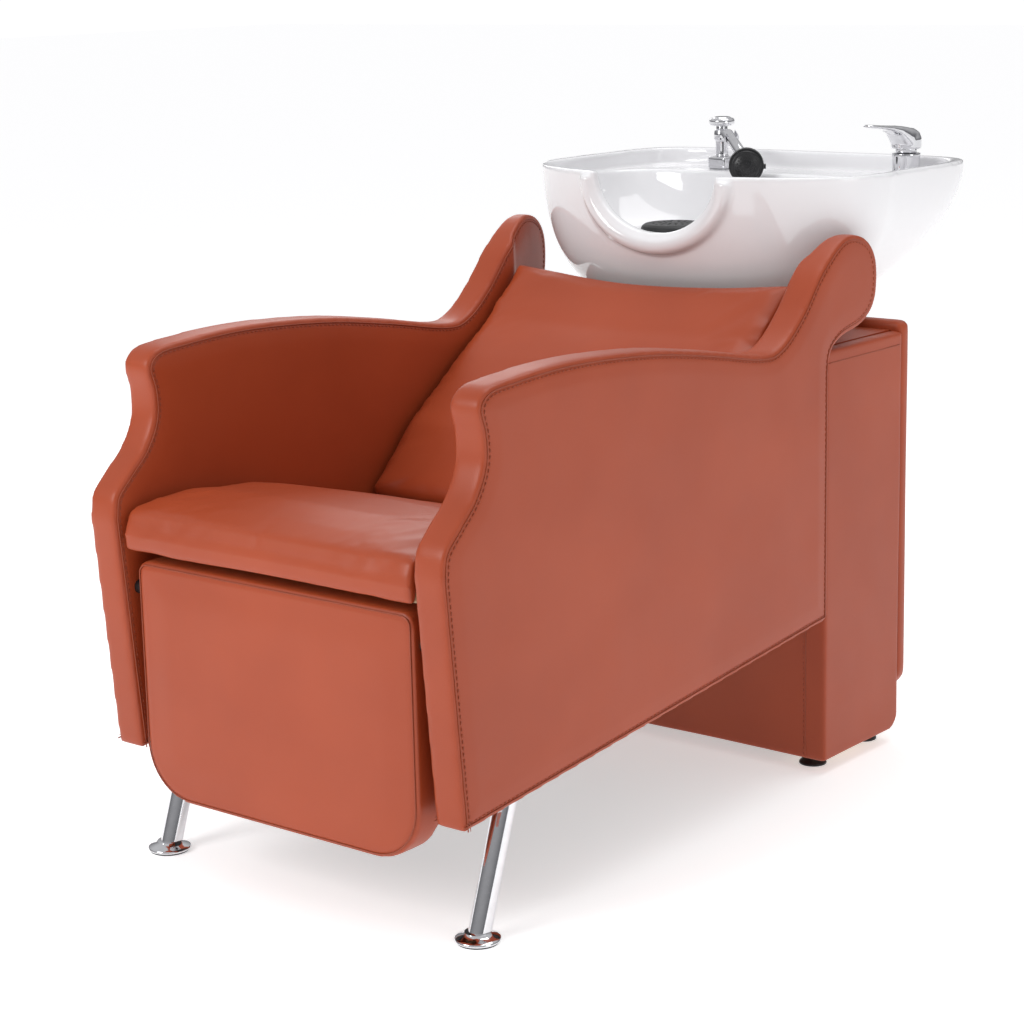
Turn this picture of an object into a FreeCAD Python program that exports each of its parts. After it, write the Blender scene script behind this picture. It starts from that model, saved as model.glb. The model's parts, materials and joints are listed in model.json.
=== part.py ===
"""Shampoo backwash unit: a padded chair with a lifting footrest, joined to a pedestal that
carries a tilting ceramic basin with its mixer, backflow breaker and spray handset.

Millimetres. X across, +Y towards the basin, +Z up, origin on the floor under the middle.
Distances along Y are written as stations, measured back from the front of the arms."""
import FreeCAD, Part
import math
import os
import re
import sys

from FreeCAD import Rotation, Vector

DIMENSIONS = {
    "half_length": 658, "half_width": 310, "arm_thick": 50, "seat_half": 256, "inner_half": 259.5,
    "core_gap": 10, "rest_half": 245, "rest_front": 19, "rest_foam_back": 54,
    "rest_low": 105, "rest_high": 436, "rest_round": 78, "hinge_station": 40, "hinge_level": 392,
    "pin_radius": 5, "slip": 0.05, "disc_radius": 30, "disc_level": 10, "foot_x": 279,
    "foot_station": 85, "leg_radius": 15, "pedestal_half": 297, "pedestal_front_at": 873,
    "pedestal_back_at": 1086, "pedestal_low": 20, "pedestal_high": 642, "panel": 22,
    "cover_back_at": 1112, "cover_low": 77, "cover_high": 657, "glide_radius": 21,
    "plate": 5, "tilt_station": 915, "tilt_level": 655, "tilt_pin": 4, "rim_half": 308,
    "rim_level": 883, "rim_front": 850, "rim_back": 1316, "deck_level": 855, "deck_front": 1205,
    "floor_level": 748, "lip_drop": 88, "notch_half": 110, "drain_x": -83, "drain_station": 1033,
    "drain_radius": 19, "tap_station": 1250, "breaker_x": -139, "mixer_x": 205,
    "mixer_radius": 22, "mixer_pivot": 898, "ball_radius": 17, "waste_radius": 20,
    "inlet_radius": 10.475, "valve_station": 920,
}
UNDERSIDE_RISE = 0.0975          # slope of the arms' lower edge
SEAT_FALL = 0.125                # slope of the seat towards the back
BASIN_RISE_DEG = 7.6             # slope of the basin's foot towards the back
WIDEST_SHARE = 0.4               # how far back the basin is widest, as a share of its depth
SIDES = (("left", -1), ("right", 1))

document = FreeCAD.newDocument("backwash_unit")
sheet = document.addObject("Spreadsheet::Sheet", "dims")
for row, (alias, value) in enumerate(DIMENSIONS.items(), start=1):
    sheet.set(f"A{row}", alias)
    sheet.set(f"B{row}", str(value))
    sheet.setAlias(f"B{row}", alias)
document.recompute()

nodes = {}


def size(alias):
    return float(sheet.get(alias))


def bind(item, prop, formula):
    """Bind a property to a formula of sheet aliases."""
    item.setExpression(prop, re.sub(r"[a-z]+_?[a-z_]*[a-z]", r"dims.\g<0>", str(formula)))


def place(item, base):
    """Bind a placement's base: x, station and level formulas."""
    bind(item, "Placement.Base.x", base[0])
    bind(item, "Placement.Base.y", f"({base[1]}) - half_length")
    bind(item, "Placement.Base.z", base[2])


def keep(name, item):
    """Name an object as one of the unit's pieces."""
    item.Label = name
    nodes[name] = item
    return item


def box(name, low, high):
    item = document.addObject("Part::Box", name)
    for prop, start, end in zip(("Length", "Width", "Height"), low, high):
        bind(item, prop, f"({end}) - ({start})")
    place(item, low)
    return item


def cylinder(name, radius, length, base, direction=(0, 0, 1)):
    item = document.addObject("Part::Cylinder", name)
    item.Placement.Rotation = Rotation(Vector(0, 0, 1), Vector(*direction))
    bind(item, "Radius", radius)
    bind(item, "Height", length)
    place(item, base)
    return item


def cut(name, base, *tools):
    for number, tool in enumerate(tools):
        item = document.addObject("Part::Cut", f"{name}_cut_{number}")
        item.Base = base
        item.Tool = tool
        base = item
    return base


def join(name, *items):
    item = document.addObject("Part::MultiFuse", name + "_join")
    item.Shapes = list(items)
    return item


def group(name, *items):
    item = document.addObject("Part::Compound", name + "_group")
    item.Links = list(items)
    return item


def feature(name, shape):
    item = document.addObject("Part::Feature", name)
    item.Shape = shape
    return item


def sketch_on(body, role, points):
    """A closed sketch of straight edges on one of the body's own origin planes."""
    sketch = body.newObject("Sketcher::SketchObject", body.Name + "_sketch")
    plane = next(item for item in body.Origin.OriginFeatures if item.Role == role)
    sketch.AttachmentSupport = [(plane, "")]
    sketch.MapMode = "FlatFace"
    corners = [Vector(across, up, 0) for across, up in points]
    for start, end in zip(corners, corners[1:] + corners[:1]):
        sketch.addGeometry(Part.LineSegment(start, end), False)
    return sketch


def slab(name, points, half):
    """A body of one side profile, station by level, padded evenly about the middle."""
    body = document.addObject("PartDesign::Body", name)
    moved = [(station - size("half_length"), level) for station, level in points]
    sketch = sketch_on(body, "YZ_Plane", moved)
    pad = body.newObject("PartDesign::Pad", name + "_pad")
    pad.Profile = sketch
    pad.Midplane = True
    bind(pad, "Length", f"2 * ({half})")
    return body


def turned(name, points, base):
    """A body turned about its own Z axis from a profile of radius by level."""
    body = document.addObject("PartDesign::Body", name)
    sketch = sketch_on(body, "XZ_Plane", points)
    turn = body.newObject("PartDesign::Revolution", name + "_turn")
    turn.Profile = sketch
    turn.ReferenceAxis = (sketch, ["V_Axis"])
    turn.Angle = 360
    place(body, base)
    return body


def at(x, station, level):
    return Vector(x, station - size("half_length"), level)


def side_face(points, x):
    """A flat face from a side profile given as edges or corners."""
    corners = [at(x, station, level) for station, level in points]
    return Part.Face(Part.makePolygon(corners + corners[:1]))


def underside(station):
    return 162 + UNDERSIDE_RISE * station


def seat_under(station):
    return 450 - SEAT_FALL * (station - 14)


def mirrored(shape, side):
    return shape if side > 0 else shape.mirror(Vector(0, 0, 0), Vector(1, 0, 0))


def wing_wedge(inner_x):
    """The slice off the inner face of the arm's wing, which makes room for the basin."""
    plan = [(200, 850), (inner_x, 850), (inner_x + 44, 1008), (200, 1008)]
    corners = [at(x, station, 640) for x, station in plan]
    return Part.Face(Part.makePolygon(corners + corners[:1])).extrude(Vector(0, 0, 200))


def make_arms():
    """Each arm: a timber core, open to view underneath, in a padded upholstered cover."""
    inner = size("half_width") - size("arm_thick")
    curve_points = [
        (2, 488), (8, 520), (34, 547), (64, 576), (83, 612), (84, 648), (76, 682), (94, 703),
        (140, 710), (264, 715), (424, 705), (560, 685), (690, 662), (740, 670), (790, 708),
        (840, 762), (900, 801), (955, 795), (986, 760), (984, 704), (950, 673), (894, 659),
        (866, 640), (861, 612)]
    curve = Part.BSplineCurve()
    curve.interpolate([at(inner, *point) for point in curve_points])
    corners = [(861, 612), (860, underside(860)), (30, underside(30)), (2, 488)]
    edges = [curve.toShape()]
    for start, end in zip(corners, corners[1:]):
        edges.append(Part.LineSegment(at(inner, *start), at(inner, *end)).toShape())
    outline = Part.Face(Part.Wire(edges))
    core_points = [
        (45, underside(45)), (14, 490), (46, 545), (92, 602), (92, 655), (88, 686), (105, 694),
        (264, 705), (424, 695), (560, 675), (690, 652), (748, 660), (800, 700), (850, 755),
        (895, 788), (940, 786), (968, 760), (968, 714), (940, 684), (880, 664), (852, 640),
        (852, underside(852))]
    gap = size("core_gap")
    core = side_face(core_points, inner + gap).extrude(
        Vector(size("arm_thick") - 2 * gap, 0, 0))
    cover = outline.extrude(Vector(size("arm_thick"), 0, 0)).cut(core).cut(wing_wedge(inner))
    core = core.cut(wing_wedge(inner + gap - 1))
    hinge = Part.makeCylinder(
        size("pin_radius"), 40, at(inner - 10, size("hinge_station"), size("hinge_level")),
        Vector(1, 0, 0))
    for side_name, side in SIDES:
        keep("arm_core_" + side_name, feature("arm_core_" + side_name,
                                              mirrored(core.cut(hinge), side)))
        keep("arm_cover_" + side_name, feature("arm_cover_" + side_name,
                                               mirrored(cover.cut(hinge), side)))


def make_seat():
    """Seat cushion on its board and rails, with a fixed apron behind the footrest."""
    top = [(8, 452), (6, 488), (16, 500), (60, 511), (120, 514), (226, 505), (365, 474),
           (476, 440), (482, seat_under(482) + 15.2)]
    keep("seat_cushion", slab(
        "seat_cushion", top + [(20, seat_under(20) + 15.2), (20, 450)], "seat_half"))
    keep("seat_board", slab("seat_board", [
        (20.5, seat_under(20.5)), (482, seat_under(482)), (482, seat_under(482) + 15),
        (20.5, seat_under(20.5) + 15)], "seat_half"))
    rail = [(127, seat_under(127)), (482, seat_under(482)), (482, seat_under(482) - 45),
            (127, seat_under(127) - 45)]
    for side_name, side in SIDES:
        name = "seat_rail_" + side_name
        blank = side_face(rail, 232).extrude(Vector(size("inner_half") - 232, 0, 0))
        keep(name, feature(name, mirrored(blank, side)))
    keep("front_apron", box("front_apron", ("-inner_half", 112, 200),
                            ("inner_half", 126, seat_under(126) - 1)))
    keep("dust_cover", slab("dust_cover", [
        (127, underside(127) + 6), (834, underside(834) + 6), (834, underside(834) + 8),
        (127, underside(127) + 8)], "inner_half - 1"))


def make_back():
    """Back cushion on its board, and the rails that tie the chair to the pedestal."""
    keep("back_cushion", slab("back_cushion", [
        (485, 439), (574, 532), (693, 620), (766, 668), (838, 738), (850, 748), (866, 742),
        (852, 692), (514, 399)], "seat_half"))
    keep("back_board", slab("back_board", [
        (514.4, 398.4), (852.4, 691.4), (860.2, 682.4), (522.2, 389.4)], "seat_half"))
    bolts = [cylinder(f"pedestal_bolt_{number}", "pin_radius", 66, (x, 832, level), (0, 1, 0))
             for number, (x, level) in enumerate(
                 [(-170, 575), (-170, 615), (170, 575), (170, 615)])]
    heads = [cylinder(f"pedestal_bolt_head_{number}", 9, 6, (x, 829, level), (0, 1, 0))
             for number, (x, level) in enumerate(
                 [(-170, 575), (-170, 615), (170, 575), (170, 615)])]
    shanks = group("bolt_shanks", *bolts)
    keep("pedestal_bolts", join("pedestal_bolts", *(bolts + heads)))
    rail = box("rear_rail_blank", ("-inner_half", 835, 545), ("inner_half", 859.5, 640))
    keep("rear_rail", cut("rear_rail", rail, shanks))
    spacers = group("spacer_blanks", *[
        box(f"spacer_{name}", (f"{side * 170} - 25", 859.5, 555),
            (f"{side * 170} + 25", "pedestal_front_at", 635)) for name, side in SIDES])
    keep("joint_spacers", cut("joint_spacers", spacers, shanks))
    keep("lower_rail", box("lower_rail", ("-inner_half", 836, 262), ("inner_half", 859.5, 320)))
    return shanks


def make_footrest():
    """Padded footrest on a board, hung on two pins through blocks at its upper corners."""
    foam = box("rest_foam", ("-rest_half", "rest_front", "rest_low"),
               ("rest_half", 70, "rest_high"))
    document.recompute()
    rounded = document.addObject("Part::Fillet", "rest_rounded")
    rounded.Base = foam
    edges = []
    for number, edge in enumerate(foam.Shape.Edges, start=1):
        along = edge.Vertexes[-1].Point - edge.Vertexes[0].Point
        if abs(along.y) > 1:
            low = edge.Vertexes[0].Point.z < 200
            radius = size("rest_round") if low else 20
            edges.append((number, radius, radius))
    rounded.Edges = edges
    plate = box("rest_board_plate", ("-rest_half + 12", "rest_foam_back", 160),
                ("rest_half - 12", 70, "rest_high - 14"))
    blocks = [box(f"rest_block_{name}",
                  (195 if side > 0 else "12 - rest_half", "hinge_station - 12",
                   "hinge_level - 20"),
                  ("rest_half - 12" if side > 0 else -195, "rest_foam_back + 1",
                   "hinge_level + 20")) for name, side in SIDES]
    board_blank = join("rest_board_blank", plate, *blocks)
    holes = group("hinge_holes", *[
        cylinder(f"hinge_hole_{name}", "pin_radius + slip", 60,
                 (side * 200 if side > 0 else -260, "hinge_station", "hinge_level"), (1, 0, 0))
        for name, side in SIDES])
    keep("footrest_board", cut("footrest_board", board_blank, holes))
    keep("footrest_pad", cut("footrest_pad", rounded, board_blank, holes))
    pins = [cylinder(f"hinge_pin_{name}", "pin_radius", 85,
                     (205 if side > 0 else -290, "hinge_station", "hinge_level"), (1, 0, 0))
            for name, side in SIDES]
    keep("footrest_pins", group("footrest_pins", *pins))
    sleeves = group("sleeve_blanks", *[
        cylinder(f"sleeve_{name}", 10, 13,
                 (246 if side > 0 else -259, "hinge_station", "hinge_level"), (1, 0, 0))
        for name, side in SIDES])
    keep("footrest_spacers", cut("footrest_spacers", sleeves, *pins))


def make_legs():
    """Raked chromed front legs on plates under the arms, each on a round foot."""
    rake = Vector(0, 60, 165)
    slope = Rotation(Vector(1, 0, 0), math.degrees(math.atan(UNDERSIDE_RISE)))
    pads = []
    screws = []
    for side_name, side in SIDES:
        x = side * size("foot_x")
        station = size("foot_station")
        plate = Part.makeBox(38, 90, 4)
        plate.Placement = FreeCAD.Placement(at(x - 19, 100, underside(100) - 4.02), slope)
        keep("leg_plate_" + side_name, feature("leg_plate_" + side_name, plate))
        tube = Part.makeCylinder(size("leg_radius"), 260, at(x, station, 0) - rake * 0.1, rake)
        limit = side_face([(0, 14), (300, 14), (300, underside(300) - 4.4),
                           (0, underside(0) - 4.4)], x - 40).extrude(Vector(80, 0, 0))
        tube = tube.common(limit)
        hollow = Part.makeCylinder(size("leg_radius") - 1.5, 260,
                                   at(x, station, 0) - rake * 0.1, rake)
        keep("leg_" + side_name, feature("leg_" + side_name, tube.cut(hollow)))
        rim = size("disc_radius")
        disc = [(0, 2), (rim, 2), (rim, 6), (rim - 6, size("disc_level")), (20, 14), (0, 14)]
        keep("leg_foot_" + side_name, turned(
            "leg_foot_" + side_name, disc, (side * size("foot_x"), "foot_station", 0)))
        pads.append(cylinder("foot_pad_" + side_name, "disc_radius - 3", 2,
                             (side * size("foot_x"), "foot_station", 0)))
        for number, along in enumerate((8, 82)):
            head = Part.makeCylinder(4, 3, Vector(19, along, -3))
            head.Placement = plate.Placement
            screws.append(feature(f"leg_screw_{side_name}_{number}", head))
    keep("foot_pads", group("foot_pads", *pads))
    keep("leg_screws", group("leg_screws", *screws))


def make_pedestal(shanks):
    """Upholstered box with a lift-off back cover, standing on four adjustable glides."""
    low, high = "pedestal_low", "pedestal_high"
    drain = cylinder("drain_clearance", 46, 60, ("drain_x", "drain_station", 600))
    for side_name, side in SIDES:
        start = "pedestal_half - panel" if side > 0 else "-pedestal_half"
        end = "pedestal_half" if side > 0 else "panel - pedestal_half"
        keep("pedestal_side_" + side_name, box(
            "pedestal_side_" + side_name, (start, "pedestal_front_at", low),
            (end, "pedestal_back_at", high)))
    inner = "pedestal_half - panel"
    front = box("pedestal_front_blank", (f"-({inner})", "pedestal_front_at", low),
                (inner, "pedestal_front_at + panel", high))
    keep("pedestal_front", cut("pedestal_front", front, shanks))
    top = box("pedestal_top_blank", (f"-({inner})", "pedestal_front_at + panel", f"{high} - 20"),
              (inner, "pedestal_back_at", high))
    keep("pedestal_top", cut("pedestal_top", top, drain))
    base = box("pedestal_base_blank", (f"-({inner})", "pedestal_front_at + panel", low),
               (inner, "pedestal_back_at", f"{low} + 40"))
    open_middle = box("pedestal_base_open", (-215, "pedestal_front_at + panel - 1", 0),
                      (215, 1070, 100))
    keep("pedestal_base", cut("pedestal_base", base, open_middle))
    keep("rear_cover", box("rear_cover", ("-pedestal_half", "pedestal_back_at + 0.3",
                                          "cover_low"),
                           ("pedestal_half", "cover_back_at", "cover_high")))
    glides = []
    for number, (x, station) in enumerate([(-250, 916), (250, 916), (-250, 1062), (250, 1062)]):
        foot = cylinder(f"glide_foot_{number}", "glide_radius", 14, (x, station, 0))
        stem = cylinder(f"glide_stem_{number}", 5, 8, (x, station, 12))
        glides.append(join(f"glide_{number}", foot, stem))
    keep("pedestal_glides", group("pedestal_glides", *glides))
    return drain


def make_plumbing():
    """Waste trap and pipe, and the two supply valves, inside the pedestal."""
    keep("waste_trap", turned("waste_trap", [
        (18, 470), (42, 470), (42, 600), (38, 600), (38, 476), (18, 476)],
        ("drain_x", "drain_station", 0)))
    pipe = cylinder("waste_pipe_outer", "waste_radius", 350, ("drain_x", "drain_station", 120))
    bore = cylinder("waste_pipe_bore", 17.9, 350, ("drain_x", "drain_station", 120))
    keep("waste_pipe", cut("waste_pipe", pipe, bore))
    arm = box("trap_bracket_blank", ("drain_x - 17", "pedestal_front_at + panel", 500),
              ("drain_x + 17", "drain_station - 30", 508))
    around = cylinder("trap_clearance", 42, 100, ("drain_x", "drain_station", 480))
    keep("trap_bracket", cut("trap_bracket", arm, around))
    keep("valve_bracket", box("valve_bracket", (60, "pedestal_front_at + panel", 214),
                              (200, "pedestal_front_at + panel + 5", 260)))
    for name, x in (("hot", 90), ("cold", 170)):
        block = box(f"valve_block_{name}", (x - 16, "pedestal_front_at + panel + 5", 208),
                    (x + 16, "valve_station + 20", 250))
        inlet = cylinder(f"valve_inlet_{name}", "inlet_radius", 26, (x, "valve_station", 184))
        outlet = cylinder(f"valve_outlet_{name}", 7, 18, (x, "valve_station", 248))
        keep(f"supply_valve_{name}", join(f"supply_valve_{name}", block, inlet, outlet))


def sloping_block(low, high, drop):
    """A block whose faces lie along the basin's sloping foot, drop below it."""
    block = Part.makeBox(high[0] - low[0], high[1] - low[1], high[2] - low[2],
                         Vector(low[0], low[1] - 900, low[2] - drop))
    block.rotate(Vector(0, 0, 0), Vector(1, 0, 0), BASIN_RISE_DEG)
    block.translate(at(0, 900, 666))
    return block


def make_tilt(drain):
    """Tilting mount: a plate on the pedestal, a plate under the basin, and their pin."""
    pin_hole = cylinder("tilt_pin_hole", "tilt_pin", 300, (-150, "tilt_station", "tilt_level"),
                        (1, 0, 0))
    base = box("tilt_base_blank", (-195, 895, "pedestal_high"),
               (195, 1082, "pedestal_high + plate"))
    ears = [box(f"tilt_ear_{name}", (side * 103 - 3, 905, "pedestal_high + plate"),
                (side * 103 + 3, 925, 661)) for name, side in SIDES]
    keep("tilt_base", cut("tilt_base", join("tilt_base", base, *ears), pin_hole, drain))
    plate = sloping_block((-205, 905, -5), (205, 1105, 0), 0)
    for side in (-1, 1):
        ear = Part.makeBox(6, 14, 16, at(side * 110 - 3, 908, 649.5))
        plate = plate.fuse(ear.cut(sloping_block((-300, 800, -2), (300, 1200, 100), 0)))
    running = Part.makeCylinder(size("tilt_pin") + size("slip"), 300,
                                at(-150, size("tilt_station"), size("tilt_level")),
                                Vector(1, 0, 0))
    way = Part.makeCylinder(size("drain_radius") + 0.2, 100,
                            at(size("drain_x"), size("drain_station"), 620))
    keep("tilt_bracket", feature("tilt_bracket", plate.cut(running).cut(way)))
    keep("tilt_pin", cylinder("tilt_pin", "tilt_pin", 236, (-118, "tilt_station",
                                                            "tilt_level"), (1, 0, 0)))
    outer = [(932, 647.2), (1080, 647.2), (1080, 682), (932, 663)]
    ring = side_face(outer, -190).extrude(Vector(380, 0, 0))
    space = Part.makeBox(374, 142, 100, at(-187, 935, 640))
    keep("tilt_bellows", feature("tilt_bellows", ring.cut(space)))


def oval(half, front, back, level, front_power, back_power):
    """A closed superellipse wire, with its own power at the front and at the back."""
    centre = front + WIDEST_SHARE * (back - front)
    points = []
    steps = 48
    for step in range(steps):
        angle = 2 * math.pi * step / steps
        across, along = math.cos(angle), math.sin(angle)
        power = back_power if along > 0 else front_power
        x = half * math.copysign(abs(across) ** (2 / power), across)
        reach = back - centre if along > 0 else centre - front
        y = reach * math.copysign(abs(along) ** (2 / power), along)
        points.append(at(x, centre + y, level))
    curve = Part.BSplineCurve()
    curve.interpolate(points, PeriodicFlag=True)
    return Part.Wire(curve.toShape())


def make_basin():
    """Ceramic basin: round front with a neck notch, squarer back with a deck for the taps."""
    half, front, back, rim = (size(name) for name in
                              ("rim_half", "rim_front", "rim_back", "rim_level"))
    outer = Part.makeLoft([
        oval(185, 930, 1160, 650, 2.6, 3), oval(225, 905, 1210, 700, 2.6, 4),
        oval(262, 880, 1262, 740, 2.5, 5), oval(296, 859, 1300, 805, 2.2, 6),
        oval(half - 1, front, back, 862, 2.1, 7), oval(half, front, back, rim, 2.1, 7)], True)
    bowl = Part.makeLoft([
        oval(150, 955, 1095, size("floor_level"), 2.4, 2.6), oval(215, 912, 1145, 757, 2.6, 3),
        oval(258, 884, 1182, 785, 2.4, 4), oval(280, 873, 1200, 825, 2.2, 5),
        oval(half - 16, front + 16, size("deck_front"), rim + 2, 2.1, 6)], True)
    recess = Part.makeLoft([
        oval(half - 18, front + 17, back - 17, size("deck_level"), 2.1, 7),
        oval(half - 16, front + 16, back - 15, rim + 2, 2.1, 7)], True)
    notch = Part.Face(Part.Wire(Part.Ellipse(
        at(size("notch_half"), 840, rim), at(0, 840, rim - size("lip_drop")),
        at(0, 840, rim)).toShape())).extrude(Vector(0, 56, 0))
    pocket = Part.makeBox(470, 64, 250, at(-235, 1223, 592))
    drain_at = (size("drain_x"), size("drain_station"))
    shape = outer.cut(sloping_block((-500, 500, -300), (500, 1500, 0), 0))
    for tool in (
            bowl, recess, notch, pocket,
            Part.makeCylinder(size("drain_radius") + 0.2, 200, at(*drain_at, 600)),
            Part.makeCylinder(34.2, 60, at(*drain_at, size("floor_level") - 4)),
            Part.makeCylinder(14, 40, at(size("mixer_x"), size("tap_station"), 830)),
            Part.makeCylinder(10, 40, at(size("breaker_x"), size("tap_station"), 830))):
        shape = shape.cut(tool)
    keep("basin", feature("basin", shape))


def make_drain():
    """Waste flange with its tail, and the lift-out strainer over it."""
    floor = size("floor_level")
    tail = size("drain_radius")
    keep("drain_flange", turned("drain_flange", [
        (16, 560), (tail, 560), (tail, floor - 3.9), (34, floor - 3.9), (34, floor + 2),
        (16, floor + 2)], ("drain_x", "drain_station", 0)))
    low = floor + 2.3
    keep("strainer", turned("strainer", [
        (48, low), (52, low), (52, low + 34), (46, low + 40), (0, low + 40), (0, low + 35),
        (44, low + 35), (48, low + 31)], ("drain_x", "drain_station", 0)))


def make_mixer():
    """Single-lever mixer: fixed body, ball cartridge that swivels, handle that lifts."""
    radius, deck = size("mixer_radius"), size("deck_level")
    base = ("mixer_x", "tap_station", 0)
    keep("mixer_body", turned("mixer_body", [
        (0, 820), (13.8, 820), (13.8, deck), (radius, deck), (radius, 891), (17.3, 891),
        (17.3, 878), (8.05, 878), (8.05, 872), (0, 872)], base))
    ball = join("mixer_ball_neck",
                cylinder("mixer_neck", 8, 12, ("mixer_x", "tap_station", 873)),
                make_ball("mixer_ball", "ball_radius", "mixer_pivot"))
    cross_bore = cylinder("mixer_cross_bore", 2, 50, ("mixer_x - 25", "tap_station",
                                                      "mixer_pivot"), (1, 0, 0))
    keep("mixer_cartridge", cut("mixer_cartridge", ball, cross_bore))
    profile = [(1273, 898.2), (1273, 916), (1262, 928), (1240, 933), (1131, 943), (1131, 937),
               (1218, 922), (1228, 914), (1228, 898.2)]
    lever = side_face(profile, size("mixer_x") - 11).extrude(Vector(22, 0, 0))
    cap = Part.makeCylinder(radius + 1.5, 25, at(size("mixer_x"), size("tap_station"), 898.2))
    socket = Part.makeSphere(size("ball_radius") + 0.3, at(size("mixer_x"), size("tap_station"),
                                      size("mixer_pivot")))
    keep("mixer_handle", feature("mixer_handle", cap.fuse(lever).removeSplitter().cut(socket)))


def make_ball(name, radius, level):
    item = document.addObject("Part::Sphere", name)
    bind(item, "Radius", radius)
    place(item, ("mixer_x", "tap_station", level))
    return item


def make_breaker():
    """Backflow breaker on its block, with the cradle that holds the spray handset."""
    keep("breaker_base", box("breaker_base", ("breaker_x - 17", "tap_station - 17",
                                              "deck_level"),
                             ("breaker_x + 17", "tap_station + 17", "deck_level + 20")))
    keep("breaker_body", turned("breaker_body", [
        (0, 875), (11, 875), (11, 902), (13, 904), (12, 918), (9, 924), (0, 924)],
        ("breaker_x", "tap_station", 0)))
    keep("breaker_cap", turned("breaker_cap", [
        (0, 924), (16, 924), (21, 927), (21, 934), (17, 939), (0, 939)],
        ("breaker_x", "tap_station", 0)))
    start = at(-116, 1232, 914)
    end = at(-45, 1180, 876)
    along = end - start
    length = along.Length
    handle = Part.makeCylinder(9, length, start, along)
    facing = Vector(0.556, -0.831, 0).normalize()
    sideways = Vector(-facing.y, facing.x, 0)
    head_back = at(-45, 1180, 870)
    middle = head_back + facing * 13 - Vector(0, 0, 2)
    button_way = Part.makeCylinder(4.3, 12, middle + sideways * 22, sideways)
    whole_head = Part.makeCylinder(28, 26, head_back, facing)
    head = whole_head.cut(button_way)
    face = Part.makeCylinder(24, 4, head_back + facing * 26, facing)
    button = Part.makeCylinder(4, 6.5, middle + sideways * 24.5, sideways)
    keep("handset_head", feature("handset_head", head))
    keep("handset_handle", feature("handset_handle", handle.cut(whole_head)))
    keep("handset_face", feature("handset_face", face))
    keep("handset_button", feature("handset_button", button))
    along.normalize()
    cradle = Part.makeCylinder(13, 14, start + along * 6, along)
    bore = Part.makeCylinder(9.4, length, start, along)
    link = Part.makeCylinder(5, 34, at(size("breaker_x"), size("tap_station"), 900),
                             start + along * 12 - at(size("breaker_x"), size("tap_station"),
                                                     900))
    lift_way = Part.makeBox(length, 18.8, 60, Vector(0, -9.4, 0))
    lift_way.rotate(Vector(0, 0, 0), Vector(0, 0, 1), math.degrees(math.atan2(along.y, along.x)))
    slope = Part.makeCylinder(9.4, length, Vector(0, 0, 0), along)
    sweep = slope.copy()
    for rise in range(1, 8):
        step = slope.copy()
        step.translate(Vector(0, 0, 8 * rise))
        sweep = sweep.fuse(step)
    sweep.translate(start)
    lift_way.translate(start)
    column = Part.makeCylinder(13.2, 60, at(size("breaker_x"), size("tap_station"), 870))
    shape = cradle.fuse(link).cut(column).cut(bore).cut(sweep).cut(lift_way)
    largest = max(shape.Solids, key=lambda solid: solid.Volume)
    keep("handset_cradle", feature("handset_cradle", largest))


def export():
    """Recompute, check every object, and write one STEP file for each piece."""
    document.recompute()
    faults = [item.Label for item in document.Objects
              if "Invalid" in item.State or "Error" in item.State]
    for name, item in nodes.items():
        if item.Shape.isNull() or not item.Shape.isValid() or not item.Shape.Solids:
            faults.append(name)
    if faults:
        print("faults:", sorted(set(faults)))
        sys.exit(1)
    os.makedirs("parts", exist_ok=True)
    for name, item in nodes.items():
        item.Shape.exportStep(f"parts/{name}.step")
    print(len(nodes), "pieces")


make_arms()
make_seat()
bolt_shanks = make_back()
make_footrest()
make_legs()
drain_clearance = make_pedestal(bolt_shanks)
make_plumbing()
make_tilt(drain_clearance)
make_basin()
make_drain()
make_mixer()
make_breaker()
export()
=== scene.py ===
"""The shampoo backwash unit: upholstery, glazed basin, chrome fittings, lights and camera."""
import json
import math

import bmesh
import bpy
import numpy as np
from mathutils import Matrix, Vector, noise


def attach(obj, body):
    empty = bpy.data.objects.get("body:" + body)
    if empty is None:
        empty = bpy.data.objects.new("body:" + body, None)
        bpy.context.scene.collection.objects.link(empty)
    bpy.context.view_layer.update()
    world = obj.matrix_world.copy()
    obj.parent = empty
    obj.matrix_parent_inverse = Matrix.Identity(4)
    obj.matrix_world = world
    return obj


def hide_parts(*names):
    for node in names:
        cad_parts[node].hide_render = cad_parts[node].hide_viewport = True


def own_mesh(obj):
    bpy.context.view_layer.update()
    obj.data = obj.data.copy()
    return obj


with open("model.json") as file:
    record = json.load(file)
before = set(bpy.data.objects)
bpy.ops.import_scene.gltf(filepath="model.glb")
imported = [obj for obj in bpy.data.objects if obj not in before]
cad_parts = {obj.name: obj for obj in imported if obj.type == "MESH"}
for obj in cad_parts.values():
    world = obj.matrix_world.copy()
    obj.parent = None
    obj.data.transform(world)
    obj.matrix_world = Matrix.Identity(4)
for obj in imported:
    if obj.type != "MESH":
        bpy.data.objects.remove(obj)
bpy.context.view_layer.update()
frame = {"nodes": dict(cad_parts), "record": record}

HALF_LENGTH = 658
ARM_INNER = 260
ARM_OUTER = 310
SEAM_INSET = 7
PANEL_VOXEL = 0.0045             # metres
SEAM_RADIUS = 0.0009             # metres
TAP_STATION = 1250
BREAKER_X = -139
MIXER_X = 205
NODES = frame["nodes"]


def at(x, station, level):
    """A point in metres, from millimetres: across, back from the arms' front, above the floor."""
    return Vector((x / 1000, (station - HALF_LENGTH) / 1000, level / 1000))


def underside(station):
    return 162 + 0.0975 * station


def smoothstep(value, low, high):
    share = np.clip((value - low) / (high - low), 0, 1)
    return share * share * (3 - 2 * share)


# ---------------------------------------------------------------- materials

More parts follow.
